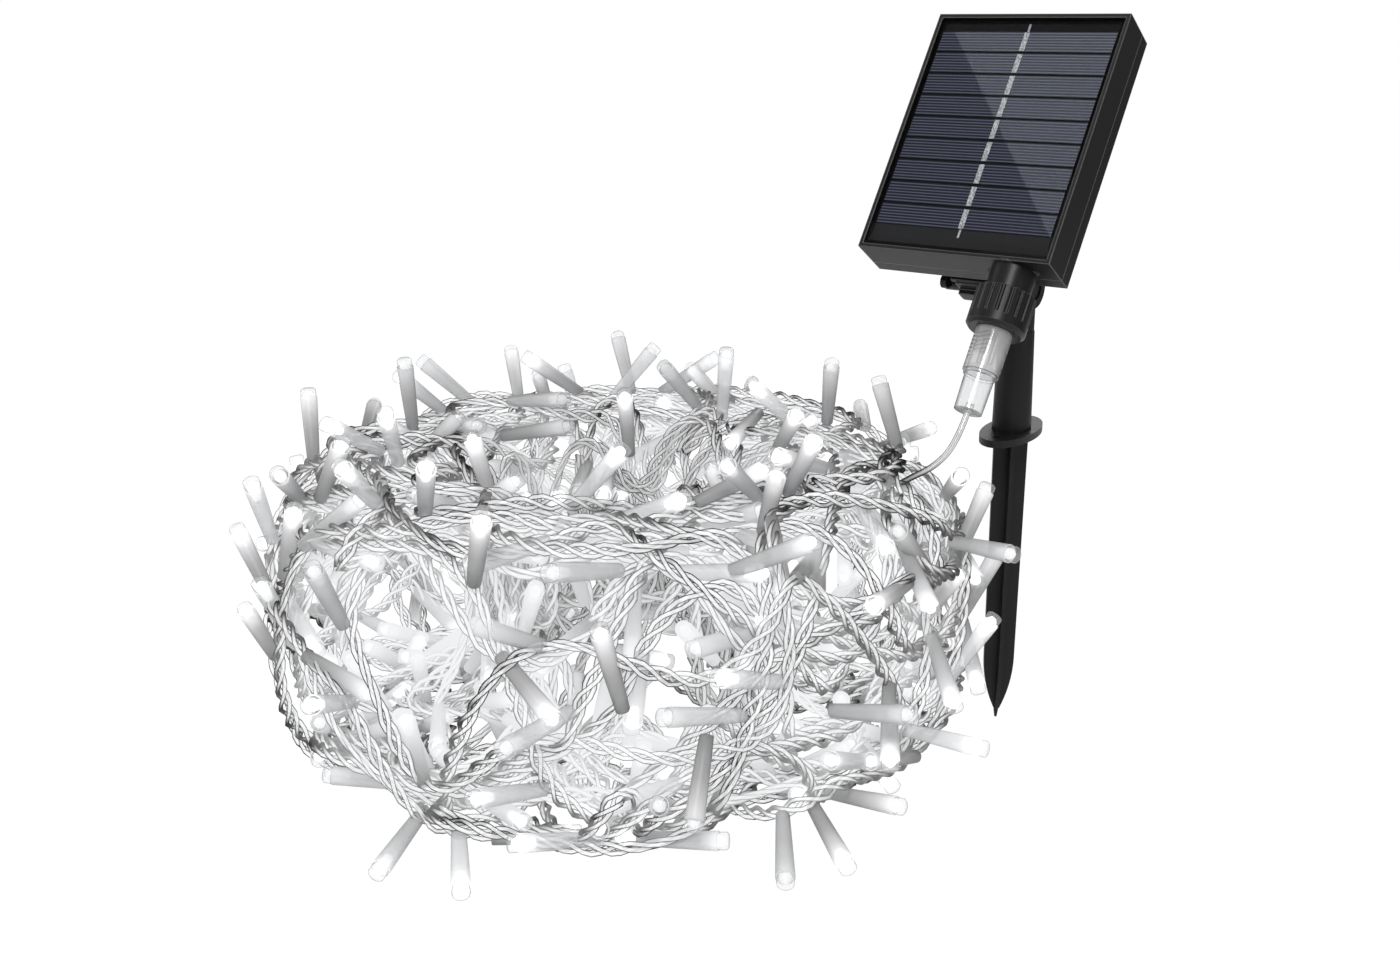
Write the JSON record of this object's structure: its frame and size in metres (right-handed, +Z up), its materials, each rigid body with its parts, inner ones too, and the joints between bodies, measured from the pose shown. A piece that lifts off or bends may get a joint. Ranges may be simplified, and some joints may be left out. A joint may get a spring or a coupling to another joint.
{
  "type": "solar string lights",
  "caption": "Solar string lights: a tilting solar panel head on a ground stake, a screw-locked lead plug, and a wound bundle of twisted clear wire with frosted tube lamps.",
  "frame": {"origin": "tip of the ground spike, at ground level", "axes": "+X along the tilt hinge and the panel's width, +Y behind the panel, +Z up along the stake"},
  "size_m": [0.3192, 0.3196, 0.2795],
  "materials": {
    "black_shell": "satin",
    "clear_cover": "gloss",
    "black_board": "satin",
    "cell_blue": "gloss",
    "tinned_ribbon": "satin",
    "black_rubber": "matte",
    "steel": "satin",
    "foil_pouch": "satin",
    "grey_foam": "matte",
    "red_wire": "gloss",
    "green_board": "gloss",
    "chip_black": "matte",
    "black_socket": "gloss",
    "brass_pin": "satin",
    "clear_plug": "gloss",
    "black_stake": "satin",
    "wound_string": "satin",
    "frosted_sleeve": "matte",
    "clear_lens": "gloss",
    "clear_wire": "gloss"
  },
  "bodies": {
    "stake": {"stake_tube": "black_stake", "stake_spike": "black_stake", "stake_head": "black_stake", "hinge_bolt": "steel", "hinge_washer": "steel", "light_bundle": "wound_string", "lamp_sleeves": "frosted_sleeve", "lamp_lenses": "clear_lens", "lead_cable": "clear_wire"},
    "panel_head": {"front_bezel": "black_shell", "rear_housing": "black_shell", "panel_cover": "clear_cover", "solar_backing_board": "black_board", "solar_cells": "cell_blue", "busbar_ribbon": "tinned_ribbon", "housing_gasket": "black_rubber", "housing_screws": "steel", "battery_pack": "foil_pouch", "battery_pad": "grey_foam", "battery_leads": "red_wire", "circuit_board": "green_board", "board_screws": "steel", "board_components": "chip_black", "tact_switches": "chip_black", "connector_socket": "black_socket", "socket_lock_ring": "black_socket", "socket_pins": "brass_pin", "connector_seal": "black_rubber", "plug_body": "clear_plug", "plug_boot": "clear_plug", "plug_contacts": "brass_pin", "tilt_lug": "black_shell", "lug_screws": "steel"},
    "wing_nut": {"wing_nut": "black_socket"},
    "coupling_nut": {"coupling_nut": "black_socket"},
    "power_button": {"power_button": "black_rubber"},
    "mode_button": {"mode_button": "black_rubber"}
  },
  "joints": [
    {"name": "panel_tilt", "type": "hinge", "parent": "stake", "child": "panel_head", "pos_m": [0, 0, 0.179], "axis": [1, 0, 0], "range_deg": [-55, 25], "deforming": ["lead_cable"]},
    {"name": "wing_nut_turn", "type": "hinge", "parent": "stake", "child": "wing_nut", "pos_m": [-0.027, 0, 0.179], "axis": [-1, 0, 0], "continuous": true},
    {"name": "coupling_nut_turn", "type": "hinge", "parent": "panel_head", "child": "coupling_nut", "pos_m": [0.0095, -0.0318, 0.17607], "axis": [0, -0.5519, -0.8339], "continuous": true},
    {"name": "power_button_press", "type": "slide", "parent": "panel_head", "child": "power_button", "axis": [0, -0.8339, 0.5519], "range_m": [0, 0.0008], "stiffness_N_per_m": 600, "springref_m": -0.0004},
    {"name": "mode_button_press", "type": "slide", "parent": "panel_head", "child": "mode_button", "axis": [0, -0.8339, 0.5519], "range_m": [0, 0.0008], "stiffness_N_per_m": 600, "springref_m": -0.0004}
  ]
}
